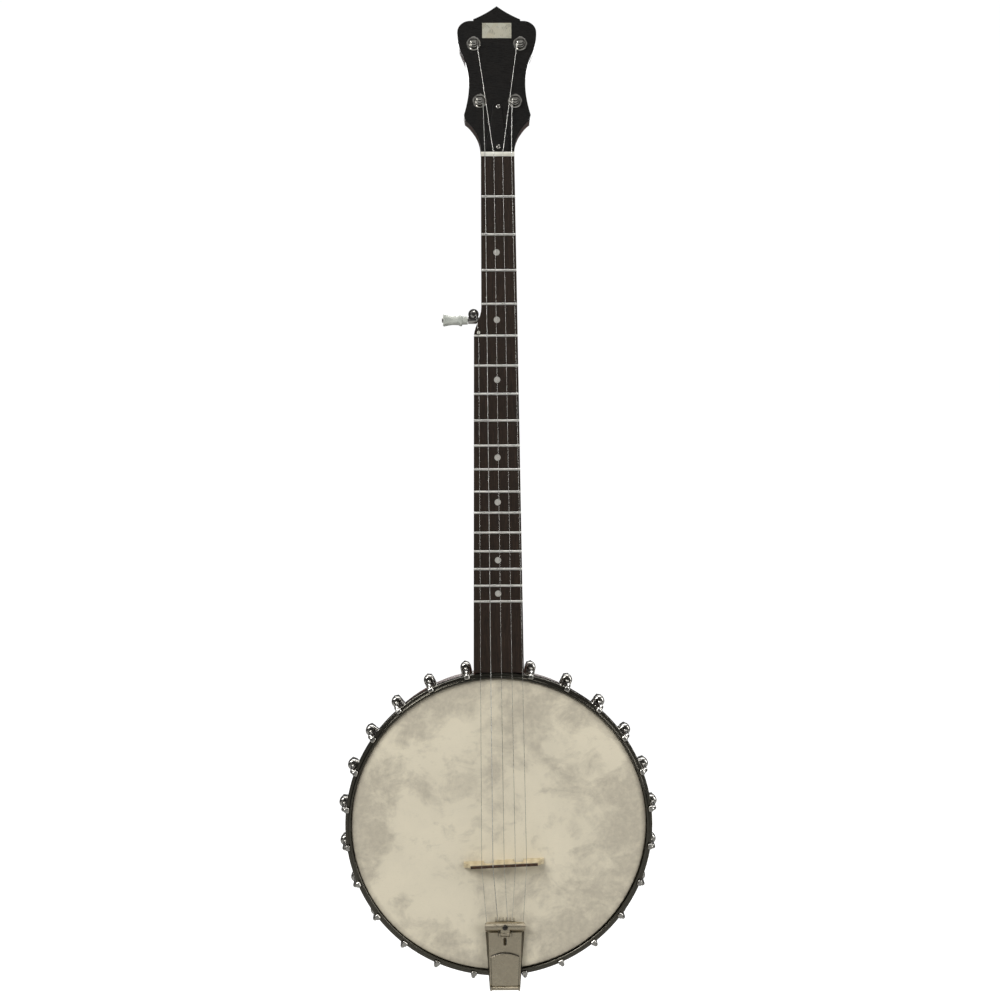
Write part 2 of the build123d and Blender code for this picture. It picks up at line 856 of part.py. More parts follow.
# ------------------------------------------------------------------ pot: hooks, shoes, nuts, screws
wire_level = hoop_shelf + 0.05 + hook_wire
bend_radius = 3.0
with BuildPart() as claw_pad:
    Box(4.5, 5.6, 3.7)
    fillet(claw_pad.edges(), 1.3)

with BuildPart() as one_hook:
    with BuildLine() as hook_path:
        Line((hook_axis, 0, hook_end), (hook_axis, 0, wire_level - bend_radius))
        ThreePointArc(
            (hook_axis, 0, wire_level - bend_radius),
            (
                hook_axis - bend_radius * (1 - cos(radians(45))),
                0,
                wire_level - bend_radius * (1 - sin(radians(45))),
            ),
            (hook_axis - bend_radius, 0, wire_level),
        )
        Line((hook_axis - bend_radius, 0, wire_level), (hoop_inner + 4.2, 0, wire_level))
    with BuildSketch(Plane((hook_axis, 0, hook_end))):
        Circle(hook_wire)
    sweep()
    with Locations((hoop_inner + 4.45, 0, wire_level + 0.1)):
        add(claw_pad.part)

with BuildPart() as bracket_hooks:
    with Locations(pot):
        with Locations(*bracket_places):
            add(one_hook.part)
write(bracket_hooks, "bracket_hooks")

shoe_top = shoe_middle + shoe_height / 2
shoe_foot = shoe_middle - shoe_height / 2
with BuildPart() as one_shoe:
    with BuildSketch(Plane.XY.offset(shoe_foot)):
        with Locations((hook_axis, 0)):
            Circle(shoe_half)
        with Locations((hook_axis - 6, 0)):
            Rectangle(12, 2 * shoe_half)
    extrude(amount=shoe_height)
    fillet(one_shoe.edges().filter_by(lambda e: e.center().X > hook_axis + 1), 2.2)
    with BuildSketch(Plane.XY.offset(shoe_foot - 1)):
        Circle(rim_radius + 0.02)
    extrude(amount=shoe_height + 2, mode=Mode.SUBTRACT)
    with Locations((hook_axis, 0, shoe_middle)):
        Cylinder(hook_wire + 0.1, 20, mode=Mode.SUBTRACT)
    with Locations((rim_radius + 2.0, 0, shoe_middle)):
        Cylinder(screw_radius + 0.02, 6.4, rotation=(0, 90, 0), mode=Mode.SUBTRACT)

with BuildPart() as bracket_shoes:
    with Locations(pot):
        with Locations(*bracket_places):
            add(one_shoe.part)
write(bracket_shoes, "bracket_shoes")

with BuildPart() as one_nut:
    with BuildSketch(Plane.XY.offset(bracket_nut_end)):
        with Locations((hook_axis, 0)):
            RegularPolygon(nut_across / 2, 6, major_radius=False)
    extrude(amount=shoe_foot - bracket_nut_end)
    chamfer(one_nut.faces().sort_by(Axis.Z)[0].edges(), 0.9)
    with Locations((hook_axis, 0, shoe_foot)):
        Cylinder(hook_wire + 0.02, 2 * (shoe_foot - hook_end) + 0.6, mode=Mode.SUBTRACT)

with BuildPart() as bracket_nuts:
    with Locations(pot):
        with Locations(*bracket_places):
            add(one_nut.part)
write(bracket_nuts, "bracket_nuts")

with BuildPart() as one_screw:
    with BuildSketch(Plane.YZ.offset(rim_inner - 4.2)):
        with Locations((0, shoe_middle)):
            RegularPolygon(4.0, 6, major_radius=False)
    extrude(amount=4.05)
    chamfer(one_screw.faces().sort_by(Axis.X)[0].edges(), 0.7)
    with Locations((rim_inner - 1.0, 0, shoe_middle)):
        Cylinder(
            screw_radius,
            18.2,
            rotation=(0, 90, 0),
            align=(Align.CENTER, Align.CENTER, Align.MIN),
        )

with BuildPart() as shoe_screws:
    with Locations(pot):
        with Locations(*bracket_places):
            add(one_screw.part)
write(shoe_screws, "shoe_screws")

# ------------------------------------------------------------------ coordinator rod and neck studs
rod_half_length = rim_inner - 0.3
with BuildPart() as coordinator_rod:
    with Locations(pot):
        with Locations((0, 0, rod_level)):
            Cylinder(rod_radius, 2 * rod_half_length, rotation=(90, 0, 0))
        with Locations((0, rod_half_length, rod_level)):
            Cylinder(stud_radius + 0.03, 40, rotation=(90, 0, 0), mode=Mode.SUBTRACT)
        with Locations((0, -140, rod_level)):
            Cylinder(stud_radius, 28, rotation=(90, 0, 0))
        with Locations((0, 60, rod_level)):
            Cylinder(1.6, 20, mode=Mode.SUBTRACT)
write(coordinator_rod, "coordinator_rod")

with BuildPart() as neck_hanger_bolts:
    with Locations(pot):
        with Locations((0, 134, rod_level)):
            Cylinder(stud_radius, 52, rotation=(90, 0, 0))
        with Locations((0, 141, upper_bolt_level)):
            Cylinder(stud_radius, 50, rotation=(90, 0, 0))
write(neck_hanger_bolts, "neck_hanger_bolts")

with BuildPart() as rod_nuts:
    for y, level in ((rim_inner - 0.45, upper_bolt_level), (-rim_radius - 0.1, rod_level)):
        nut_plane = Plane(
            origin=pot.from_local_coords((0, y, level)), x_dir=(1, 0, 0), z_dir=-pot.y_dir
        )
        with BuildSketch(nut_plane):
            Circle(7.0)
            Circle(stud_radius + 0.03, mode=Mode.SUBTRACT)
        extrude(amount=1.4)
        with BuildSketch(nut_plane.offset(1.4)):
            RegularPolygon(5.5, 6, major_radius=False)
            Circle(stud_radius + 0.03, mode=Mode.SUBTRACT)
        extrude(amount=5.0)
write(rod_nuts, "rod_nuts")

# ------------------------------------------------------------------ bridge
turn = radians(bridge_turn)
bridge_y = -(scale_length - pot_station)
bridge = Plane(
    origin=pot.from_local_coords((bridge_shift, bridge_y, 0)),
    x_dir=(cos(turn), 0, sin(turn)),
    z_dir=pot.z_dir,
)
bridge_front = Plane(origin=bridge.origin, x_dir=bridge.x_dir, z_dir=-bridge.y_dir)
wood_top = bridge_height - bridge_cap_height

with BuildPart() as bridge_body:
    with BuildSketch(bridge_front):
        with BuildLine():
            Line((0, 0), (bridge_foot_half, 0))
            Line((bridge_foot_half, 0), (bridge_foot_half, 2.4))
            Spline(
                (bridge_foot_half, 2.4),
                (bridge_top_half + 2.6, 7.5),
                (bridge_top_half, wood_top),
                tangents=((-0.4, 1), (-0.1, 1)),
            )
            Line((bridge_top_half, wood_top), (0, wood_top))
            mirror(about=Plane.YZ)
        make_face()
        with Locations((14.0, 0), (-14.0, 0)):
            Rectangle(9.6, 6.0, align=(Align.CENTER, Align.MIN), mode=Mode.SUBTRACT)
        with Locations((14.0, 6.0), (-14.0, 6.0)):
            Ellipse(4.8, 3.0, mode=Mode.SUBTRACT)
    extrude(amount=3.5, both=True)
    with BuildSketch(Plane(origin=bridge.origin, x_dir=bridge.y_dir, z_dir=bridge.x_dir)):
        Polygon((-2.8, 0), (2.8, 0), (1.25, wood_top), (-1.25, wood_top), align=None)
    extrude(amount=60, both=True, mode=Mode.INTERSECT)
write(bridge_body, "bridge_body")

with BuildPart() as bridge_cap:
    with BuildSketch(bridge.offset(wood_top)):
        Rectangle(2 * bridge_top_half, 2.5)
    extrude(amount=bridge_cap_height)
    with Locations(bridge):
        for index in range(5):
            slot = string_radius[index] + 0.03
            with Locations((string_at_bridge(index), 0, bridge_height)):
                Box(2 * slot, 6, 1.4 * slot + 0.5, mode=Mode.SUBTRACT)
write(bridge_cap, "bridge_cap")


# ------------------------------------------------------------------ tailpiece
def tail_outline(height, front_half, back_half, front, back):
    """A symmetric trapezium across the tailpiece at a height, narrowing towards the back."""
    corners = ((-front_half, front), (front_half, front), (back_half, back), (-back_half, back))
    with BuildSketch(tail.offset(height)) as outline:
        Polygon(*corners, align=None)
    return outline.sketch


flange_foot = 3.9
strap_level = 4.0
window_front = -128.5
window_back = -149.0
leg_inner = tail_back + 1.6
hinge_bore = 0.8
pin_radius = 0.75
with BuildPart() as tailpiece_body:
    loft(
        sections=[
            tail_outline(flange_foot, 18.5, 14.6, tail_front, tail_back),
            tail_outline(tail_top, 15.7, 14.2, tail_front, tail_back),
        ]
    )
    loft(
        sections=[
            tail_outline(flange_foot, 17.2, 13.3, tail_front + 1, leg_inner),
            tail_outline(tail_top - tail_sheet, 15.0, 12.95, tail_front + 1, leg_inner),
        ],
        mode=Mode.SUBTRACT,
    )
    extrude(tail_outline(strap_level, 17.9, 17.6, -101.4, -106.0), amount=1.2)
    extrude(tail_outline(strap_level, 9.6, 9.6, -92.0, -102.0), amount=1.2)
    with Locations(tail):
        with Locations((0, -90.2, strap_level + 0.6)):
            with GridLocations(3.4, 1, 6, 1):
                Box(1.0, 4.2, 1.2)
        with Locations((0, -88.7, strap_level + 1.8)):
            with GridLocations(3.4, 1, 6, 1):
                Box(1.0, 1.2, 1.6)
        with Locations((0, (window_front + window_back) / 2, tail_top)):
            Box(24.0, window_front - window_back, 4, mode=Mode.SUBTRACT)
        with Locations(*[(x, window_front - 0.6, tail_top - 2.2) for x in hook_strings]):
            Box(1.8, 1.2, 4.4)
        with Locations((0, tail_front - 1.8, tail_top)):
            Box(9.2, 3.8, 4, mode=Mode.SUBTRACT)
        with Locations(*[(x, bar_hinge[0] - 0.4, tail_top + 0.9) for x in (-5.3, 5.3)]):
            Box(1.4, 3.6, 3.8)
        with Locations((0, bar_hinge[0], bar_hinge[1])):
            Cylinder(pin_radius, 20, rotation=(0, 90, 0), mode=Mode.SUBTRACT)
        with Locations((0, -110.5, tail_top)):
            Box(3.2, 4.4, 6, mode=Mode.SUBTRACT)
        with Locations((0, -108.3, tail_top), (0, -112.7, tail_top)):
            Cylinder(1.6, 6, mode=Mode.SUBTRACT)
        with Locations(*[(x, cover_hinge[0] - 0.2, tail_top + 1.5) for x in (-13.4, 13.4)]):
            Box(1.4, 4.0, 4.2)
        with Locations((0, cover_hinge[0], cover_hinge[1])):
            Cylinder(pin_radius, 40, rotation=(0, 90, 0), mode=Mode.SUBTRACT)
    leg_plane = Plane(
        origin=tail.from_local_coords((0, leg_inner, 0)), x_dir=(1, 0, 0), z_dir=-tail.y_dir
    )
    with BuildSketch(leg_plane):
        with BuildLine():
            Polyline((-14.3, 6.0), (14.3, 6.0), (13.0, -6.0), (7.2, -26.0))
            ThreePointArc((7.2, -26.0), (0, -32.6), (-7.2, -26.0))
            Polyline((-7.2, -26.0), (-13.0, -6.0), (-14.3, 6.0))
        make_face()
    extrude(amount=1.6)
    with Locations(tail):
        with Locations((0, tail_back, tail_bolt_level)):
            Cylinder(screw_radius + 0.03, 12, rotation=(90, 0, 0), mode=Mode.SUBTRACT)
write(tailpiece_body, "tailpiece_body")

cover_level = tail_top + 0.12
with BuildPart() as tailpiece_cover:
    with BuildSketch(tail.offset(cover_level)):
        with BuildLine():
            ThreePointArc((-13.2, -125.6), (0, -122.0), (13.2, -125.6))
            Polyline(
                (13.2, -125.6),
                (12.4, -151.8),
                (12.4, -154.6),
                (-12.4, -154.6),
                (-12.4, -151.8),
                (-13.2, -125.6),
            )
        make_face()
    extrude(amount=1.2)
    with Locations(tail):
        with Locations((0, cover_hinge[0], cover_hinge[1])):
            Cylinder(1.75, 24.8, rotation=(0, 90, 0))
            Cylinder(hinge_bore, 40, rotation=(0, 90, 0), mode=Mode.SUBTRACT)
write(tailpiece_cover, "tailpiece_cover")

with BuildPart() as tailpiece_hinge_pins:
    with Locations(tail):
        with Locations((0, cover_hinge[0], cover_hinge[1])):
            Cylinder(pin_radius - 0.01, 28.6, rotation=(0, 90, 0))
        with Locations((0, bar_hinge[0], bar_hinge[1])):
            Cylinder(pin_radius - 0.01, 12.2, rotation=(0, 90, 0))
write(tailpiece_hinge_pins, "tailpiece_hinge_pins")

bar_middle = (bar_front + bar_back) / 2
bar_under = bar_string_level + 0.45
bar_top = bar_under + 4.0
with BuildPart() as tailpiece_pressure_bar:
    with BuildSketch(side_plane(tail, -19.3)):
        with BuildLine():
            Line((bar_back, bar_under), (bar_front, bar_under))
            Line((bar_front, bar_under), (bar_front, bar_under + 1.2))
            ThreePointArc(
                (bar_front, bar_under + 1.2), (bar_middle, bar_top), (bar_back, bar_under + 1.2)
            )
            Line((bar_back, bar_under + 1.2), (bar_back, bar_under))
        make_face()
    extrude(amount=38.6)
    with BuildSketch(tail.offset(bar_under)):
        with Locations((0, bar_middle)):
            RectangleRounded(38.6, bar_front - bar_back, 2.6)
    extrude(amount=10, mode=Mode.INTERSECT)
    with Locations(tail):
        with Locations((0, (bar_back + bar_hinge[0]) / 2 + 1.0, bar_hinge[1] - 0.3)):
            Box(8.6, bar_back - bar_hinge[0] + 2.0, 1.4)
        with Locations((0, bar_hinge[0], bar_hinge[1])):
            Cylinder(1.5, 8.6, rotation=(0, 90, 0))
            Cylinder(hinge_bore, 20, rotation=(0, 90, 0), mode=Mode.SUBTRACT)
        with Locations((0, bar_middle, bar_under)):
            Cylinder(1.3, 20, mode=Mode.SUBTRACT)
write(tailpiece_pressure_bar, "tailpiece_pressure_bar")

with BuildPart() as tailpiece_screw:
    with Locations(tail):
        with Locations((0, bar_middle, bar_top + 0.1)):
            Cylinder(1.28, bar_top - strap_level - 1.2, align=(Align.CENTER, Align.CENTER, Align.MAX))
            Cylinder(2.5, 1.5, align=(Align.CENTER, Align.CENTER, Align.MIN))
        with Locations((0, bar_middle, bar_top + 1.6)):
            Box(8, 0.7, 1.4, mode=Mode.SUBTRACT)
write(tailpiece_screw, "tailpiece_screw")

with BuildPart() as tailpiece_bolt:
    with Locations(pot):
        with Locations((tail_shift, -143.0, tail_bolt_level)):
            Cylinder(screw_radius, 41, rotation=(90, 0, 0))
write(tailpiece_bolt, "tailpiece_bolt")

with BuildPart() as tailpiece_nuts:
    for y, direction in ((-rim_inner + 0.45, 1), (-rim_radius - 0.1, -1), (tail_back - 0.05, -1)):
        nut_plane = Plane(
            origin=pot.from_local_coords((tail_shift, y, tail_bolt_level)),
            x_dir=(1, 0, 0),
            z_dir=pot.y_dir * direction,
        )
        with BuildSketch(nut_plane):
            RegularPolygon(4.4, 6, major_radius=False)
            Circle(screw_radius + 0.03, mode=Mode.SUBTRACT)
        extrude(amount=4)
write(tailpiece_nuts, "tailpiece_nuts")


# ------------------------------------------------------------------ strings
def string_solid(points, radius):
    """A straight wire between each two points, with a ball at each bend and end."""
    with BuildPart() as wire:
        for start, end in zip(points, points[1:]):
            run = end - start
            with BuildSketch(Plane(origin=start, z_dir=run)):
                Circle(radius)
            extrude(amount=run.length)
        for point in points:
            with Locations(point):
                Sphere(1.03 * radius)
    return wire


def post_touch(index, start):
    """Where a string from the nut meets its post: just clear of the post's side, at its string hole."""
    peg = (3, 1, 0, 2)[index]
    peg_x, peg_y = peg_places[peg]
    inner = -1 if peg_x > 0 else 1
    reach = post_radius - 0.9 + 0.35 + string_radius[index]
    local_start = headstock.to_local_coords(start)
    towards = atan2(peg_y - local_start.Y, peg_x - local_start.X)
    side = towards - inner * radians(90)
    return headstock.from_local_coords(
        (peg_x + reach * cos(side), peg_y + reach * sin(side), string_level)
    )


def below_bridge(index):
    """The last three points of a string: bridge, pressure bar, and its hook under the cover."""
    top = bridge.from_local_coords(
        (string_at_bridge(index), 0, bridge_height + 0.3 * string_radius[index] + 0.05)
    )
    bar = tail.from_local_coords((bar_strings[index], bar_front - 0.6, bar_string_level))
    hook = tail.from_local_coords((hook_strings[index], window_front + 0.4, tail_string_level))
    return [top, bar, hook]


for index in range(4):
    at_nut = neck.from_local_coords((nut_strings[index], 1.6, nut_string_level + 0.12))
    route = [post_touch(index, at_nut), at_nut] + below_bridge(index)
    write(string_solid(route, string_radius[index]), f"string_{index + 1}")

at_pip = neck.from_local_coords((pip_x, -pip_station, 1.5))
fifth_reach = 1.7 + 0.35 + string_radius[4]
at_fifth_post = neck.from_local_coords((fifth_x + fifth_reach, fifth_y, fifth_level + 10.2))
fifth_route = [at_fifth_post, at_pip] + below_bridge(4)
write(string_solid(fifth_route, string_radius[4]), "string_5")
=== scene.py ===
import json
import math

import bmesh
import bpy
from mathutils import Euler, Matrix, Vector


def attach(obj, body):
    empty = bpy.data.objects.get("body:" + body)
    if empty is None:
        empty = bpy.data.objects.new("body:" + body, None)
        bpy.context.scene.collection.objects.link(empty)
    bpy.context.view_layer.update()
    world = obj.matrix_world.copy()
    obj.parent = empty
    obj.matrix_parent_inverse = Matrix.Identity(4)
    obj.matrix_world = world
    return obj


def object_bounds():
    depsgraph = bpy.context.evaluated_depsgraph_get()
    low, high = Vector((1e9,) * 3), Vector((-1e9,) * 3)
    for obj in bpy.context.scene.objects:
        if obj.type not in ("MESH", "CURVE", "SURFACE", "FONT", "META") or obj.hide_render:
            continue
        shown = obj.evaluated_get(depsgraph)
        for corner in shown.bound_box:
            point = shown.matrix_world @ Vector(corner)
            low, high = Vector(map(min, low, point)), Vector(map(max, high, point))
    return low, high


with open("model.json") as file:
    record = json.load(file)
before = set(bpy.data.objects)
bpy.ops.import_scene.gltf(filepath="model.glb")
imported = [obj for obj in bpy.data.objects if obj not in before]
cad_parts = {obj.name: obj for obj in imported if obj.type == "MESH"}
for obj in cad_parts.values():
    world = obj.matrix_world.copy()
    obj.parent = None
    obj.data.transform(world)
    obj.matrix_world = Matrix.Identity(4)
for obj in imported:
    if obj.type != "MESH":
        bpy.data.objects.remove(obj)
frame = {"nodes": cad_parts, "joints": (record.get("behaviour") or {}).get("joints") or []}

cad_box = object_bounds()
nodes = frame["nodes"]
joints = {joint["name"]: joint for joint in frame["joints"]}


def corners(piece):
    """The low and the high corner of a piece's own box."""
    places = [Vector(place) for place in piece.bound_box]
    return [Vector([pick(place[axis] for place in places) for axis in range(3)]) for pick in (min, max)]


MM = 0.001
RIGHT = Vector((1, 0, 0))

# The pot and its tailpiece, from the frame
rim_low, rim_high = corners(nodes["rim"])
tail_low, tail_high = corners(nodes["tailpiece_body"])
rim_middle = (rim_low + rim_high) / 2
POT = Vector((rim_middle.x, corners(nodes["head"])[0].y, rim_middle.z))     # middle of the head's face
TAIL_X = (tail_low.x + tail_high.x) / 2         # the tailpiece sits this far right of the pot's middle
PLIES_PER_METRE = 472.0                         # the bent rim's plies are a little over 2 mm thick

# Strings
STRING_RADIUS = {1: 0.2 * MM, 2: 0.2 * MM, 3: 0.22 * MM, 4: 0.3 * MM, 5: 0.2 * MM}
PEG_OF_STRING = {1: 4, 2: 2, 3: 1, 4: 3}
POINTS_PER_TURN = 28
POST_HOLE = 6.5 * MM                            # height of the string's hole along a post
WAIST = (5.75 * MM, 7.45 * MM)                  # where the turns lie along a post
TURNS_REACH = 2.62 * MM                         # outside of the turns, just clear of the string's end
CUT_END = (2.2 * MM, 3.4 * MM, 4.1 * MM)        # the cut end: start, bend, tip
FIFTH_WAIST = (9.75 * MM, 10.75 * MM)
FIFTH_TURNS_RADIUS = 1.9 * MM

# Tailpiece, from the middle of the head's face
TAB_RISE, TAB_LEVEL = 6.3 * MM, -129.1 * MM     # the string tabs
TAB_SPACING = 5.0 * MM
LOOP_WIDE, LOOP_TALL = 1.35 * MM, 1.15 * MM     # a string's loop, from its middle to its wire's middle
LOOP_WIRE, TWIST_WIRE = 0.19 * MM, 0.15 * MM
LOOP_STEPS = 24
TWIST_FOOT, TWIST_LENGTH = 1.3 * MM, 6.5 * MM
TWIST_TURNS = 9
COVER_RISE, ARCH_LEVEL = 10.6 * MM, -148 * MM   # the cover's face, and the centre of its arched end
ARCH_HALF_TURN = math.radians(30)
ARCH_STEPS = 36

# Stage
FLOOR_REACH = 14.0
FLOOR_DROP = 0.35                               # the floor lies this far under the object
BACKDROP_LEVEL = 1.02
ROOM_LEVELS = ((0.0, 0.04), (0.5, 0.035), (1.0, 0.4))       # straight down, level and straight up
FOCAL_LENGTH = 89.9
CAMERA_PLACE = (-0.04835, -2.35024, -0.13291)
CAMERA_ANGLES = (-4.6012, 1.2197, -0.0859)      # pitch, yaw and roll that line up with the photograph


# ---------------------------------------------------------------- node graphs
def shade(red, green, blue):
    """A colour as seen on a screen, 0 to 255, as the linear colour that shaders use."""
    linear = [
        (c / 255 / 12.92) if c <= 10 else ((c / 255 + 0.055) / 1.055) ** 2.4 for c in (red, green, blue)
    ]
    return (*linear, 1.0)


class Surface:
    """A material with a Principled shader, and short calls for the nodes that feed it."""

    def __init__(self, name, **settings):
        self.material = bpy.data.materials.new(name)
        self.material.use_nodes = True
        self.tree = self.material.node_tree
        self.shader = self.tree.nodes["Principled BSDF"]
        for key, value in settings.items():
            self.set(key.replace("_", " ").title().replace("Ior", "IOR"), value)

    def set(self, socket, value):
        self.feed(self.shader.inputs[socket], value)

    def feed(self, socket, value):
        if isinstance(value, bpy.types.NodeSocket):
            self.tree.links.new(value, socket)
        else:
            socket.default_value = value

    def node(self, kind, inputs=(), **properties):
        made = self.tree.nodes.new("ShaderNode" + kind)
        for key, value in properties.items():
            setattr(made, key, value)
        for key, value in dict(inputs).items():
            self.feed(made.inputs[key], value)
        return made

    def place(self, scale=(1, 1, 1), shift=(0, 0, 0), turn=(0, 0, 0)):
        """The piece's own coordinates in metres, stretched by scale."""
        own = self.node("TexCoord").outputs["Object"]
        return self.node(
            "Mapping", {"Vector": own, "Scale": scale, "Location": shift, "Rotation": turn}
        ).outputs["Vector"]

    def around(self, center, scale):
        """Turn, depth and radius around an axis along Y, each times its scale; and the radius alone."""
        own = self.node("TexCoord").outputs["Object"]
        offset = self.node("VectorMath", {0: own, 1: center}, operation="SUBTRACT").outputs[0]
        parts = self.node("SeparateXYZ", {0: offset})
        angle = self.math("ARCTAN2", parts.outputs["X"], parts.outputs["Z"])
        flat = self.node("CombineXYZ", {0: parts.outputs["X"], 1: parts.outputs["Z"], 2: 0.0})
        radius = self.node("VectorMath", {0: flat.outputs[0]}, operation="LENGTH").outputs["Value"]
        return self.node(
            "CombineXYZ",
            {
                0: self.math("MULTIPLY", angle, scale[0]),
                1: self.math("MULTIPLY", parts.outputs["Y"], scale[1]),
                2: self.math("MULTIPLY", radius, scale[2]),
            },
        ).outputs[0], radius

    def math(self, operation, a, b=0.0, clamp=False):
        return self.node("Math", {0: a, 1: b}, operation=operation, use_clamp=clamp).outputs[0]

    def noise(self, vector, scale=1.0, detail=4.0, rough=0.55, warp=0.0):
        inputs = {"Vector": vector, "Scale": scale, "Detail": detail, "Distortion": warp}
        return self.node("TexNoise", {**inputs, "Roughness": rough}).outputs["Fac"]

    def cells(self, vector, scale):
        return self.node("TexVoronoi", {"Vector": vector, "Scale": scale}).outputs["Color"]

    def wave(self, vector, scale, warp=2.0, detail=2.0, direction="X"):
        inputs = {"Vector": vector, "Scale": scale, "Distortion": warp, "Detail": detail}
        return self.node("TexWave", inputs, bands_direction=direction).outputs["Fac"]

    def ramp(self, fac, *stops):
        """A colour ramp through (position, colour) stops."""
        made = self.node("ValToRGB", {"Fac": fac})
        spots = made.color_ramp.elements
        while len(spots) < len(stops):
            spots.new(0.5)
        for spot, (position, color) in zip(spots, stops):
            spot.position = position
            spot.color = color
        return made.outputs["Color"]

    def fit(self, fac, low, high, to_low=0.0, to_high=1.0):
        """A value between low and high, stretched to another range and held inside it."""
        inputs = {"Value": fac, "From Min": low, "From Max": high, "To Min": to_low, "To Max": to_high}
        return self.node("MapRange", inputs, clamp=True).outputs["Result"]

    def mix(self, fac, a, b):
        made = self.node("Mix", {0: fac}, data_type="RGBA")
        self.feed(made.inputs[6], a)
        self.feed(made.inputs[7], b)
        return made.outputs[2]

    def bump(self, *layers):
        """Bumps on top of each other, from (height, distance in metres) pairs."""
        normal = None
        for height, distance in layers:
            made = self.node("Bump", {"Height": height, "Distance": distance, "Strength": 1.0})
            if normal is not None:
                self.feed(made.inputs["Normal"], normal)
            normal = made.outputs["Normal"]
        self.set("Normal", normal)


# ---------------------------------------------------------------- metals
def metal(name, bright, dull, rough, brushed=(900, 900, 900), scratch=6e-6, tarnish=0.55, painted_side_shade=0.0):
    """Plated or drawn metal: smudged colour and gloss, and fine marks stretched by brushed.

    The last argument darkens the sides that face left and right towards dark brown: painted shade for the
    dark room those sides mirror. Creases and gaps also get painted shade from ambient occlusion."""
    made = Surface(name, metallic=1.0)
    smudge = made.noise(made.place(), 55, 5, 0.6, 0.6)
    fine = made.noise(made.place(), 420, 3, 0.6)
    marks = made.noise(made.place(brushed), 1.0, 3, 0.7)
    dirt = made.fit(made.math("MULTIPLY", smudge, fine), 0.14, 0.36)
    color = made.mix(made.math("MULTIPLY", dirt, tarnish), bright, dull)
    # Painted shade: faces turned left or right are darkened towards dark brown, standing in for the dark
    # room they mirror.
    turned = made.node("SeparateXYZ", {0: made.node("TexCoord").outputs["Normal"]}).outputs["X"]
    side_shade_mask = made.fit(made.math("ABSOLUTE", turned), 0.35, 0.7, 0.0, painted_side_shade)
    color = made.mix(side_shade_mask, color, shade(30, 27, 22))
    # Painted shade: ambient occlusion darkens creases, gaps and corners towards near black.
    ao_for_painted_shade = made.node("AmbientOcclusion", {"Distance": 0.0016}, samples=6).outputs["AO"]
    made.set("Base Color", made.mix(made.fit(ao_for_painted_shade, 0.35, 0.9), shade(26, 24, 20), color))
    worn = made.fit(smudge, 0.3, 0.75, rough * 0.8, rough * 1.5)
    lined = made.fit(marks, 0.35, 0.7, -0.25 * rough, 0.35 * rough)
    made.set("Roughness", made.math("ADD", worn, lined, True))
    made.bump((marks, scratch), (smudge, scratch))
    return made.material


chrome = metal("chrome_plating", shade(214, 212, 206), shade(150, 146, 138), 0.07, scratch=2e-6)
# Painted shade: the hoop's nickel is much darker than real nickel, standing in for the dark room its faces
# mirror.
hoop_nickel_painted_dark = metal(
    "hoop_nickel_painted_dark", shade(106, 103, 94), shade(72, 68, 60), 0.07, (120, 900, 120), 2e-7, 0.3
)
nickel = metal(
    "warm_nickel", shade(212, 201, 177), shade(180, 168, 146), 0.3, (160, 900, 2200), 2e-6, 0.4,
    painted_side_shade=0.85,
)
fret_metal = metal(
    "fret_nickel_silver", shade(250, 249, 244), shade(216, 212, 200), 0.32, (160, 900, 900), 8e-7, 0.4
)
rod_steel = metal(
    "machined_steel", shade(176, 178, 180), shade(98, 94, 90), 0.3, (2500, 2500, 5200), 9e-6, 0.8
)
ring_brass = metal(
    "rolled_brass", shade(196, 164, 98), shade(118, 88, 46), 0.3, (400, 2500, 400), 8e-6, 0.9
)
string_steel = metal(
    "string_steel", shade(226, 225, 221), shade(146, 143, 135), 0.2, (2600, 2600, 600), 1e-6, 0.6
)
dark_steel = metal(
    "oxidised_screw", shade(96, 92, 88), shade(38, 36, 34), 0.34, (1500, 1500, 1500), 8e-6, 0.8
)


def wound_string():
    """The fourth string's wrap: fine turns around a steel core."""
    made = Surface("wound_string", metallic=1.0)
    turns = made.node(
        "TexWave",
        {"Vector": made.place(), "Scale": 560.0, "Distortion": 0.0},
        bands_direction="Z",
    ).outputs["Fac"]
    dirt = made.noise(made.place(), 300, 4, 0.6)
    clean, worn = shade(208, 208, 205), shade(140, 138, 132)
    made.set("Base Color", made.mix(made.fit(dirt, 0.35, 0.7), clean, worn))
    made.set("Roughness", made.fit(dirt, 0.3, 0.7, 0.22, 0.42))
    made.bump((turns, 6e-5))
    return made.material


# ---------------------------------------------------------------- woods
def wood(name, dark, middle, light, grain, pores=0.5, gloss=0.35, coat=0.0, depth=2e-5, shine=0.5):
    """Timber with rings, lengthwise streaks and open pores. grain is the scale along X, Y and Z."""
    made = Surface(name, coat_weight=coat, coat_roughness=0.12, specular_ior_level=shine)
    stretched = made.place(grain)
    rings = made.wave(stretched, 1.6, 5.0, 3.0, "X")
    streaks = made.noise(stretched, 3.2, 6, 0.62, 0.4)
    long_pores = made.noise(made.place([g * 3.4 for g in grain]), 3.0, 3, 0.6)
    clouds = made.noise(made.place(), 22, 3, 0.5, 0.8)
    tone = made.math("ADD", made.math("MULTIPLY", rings, 0.25), made.math("MULTIPLY", streaks, 0.75))
    color = made.ramp(tone, (0.28, dark), (0.5, middle), (0.74, light))
    color = made.mix(made.fit(clouds, 0.35, 0.7, 0.0, 0.3), color, dark)
    open_pore = made.fit(long_pores, 0.36, 0.46, 1.0, 0.0)
    black = tuple(c * 0.25 for c in dark[:3]) + (1.0,)
    made.set("Base Color", made.mix(made.math("MULTIPLY", open_pore, pores), color, black))
    made.set("Roughness", made.fit(streaks, 0.3, 0.7, gloss, gloss + 0.16))
    made.bump((made.math("SUBTRACT", streaks, made.math("MULTIPLY", open_pore, 0.8)), depth))
    return made.material


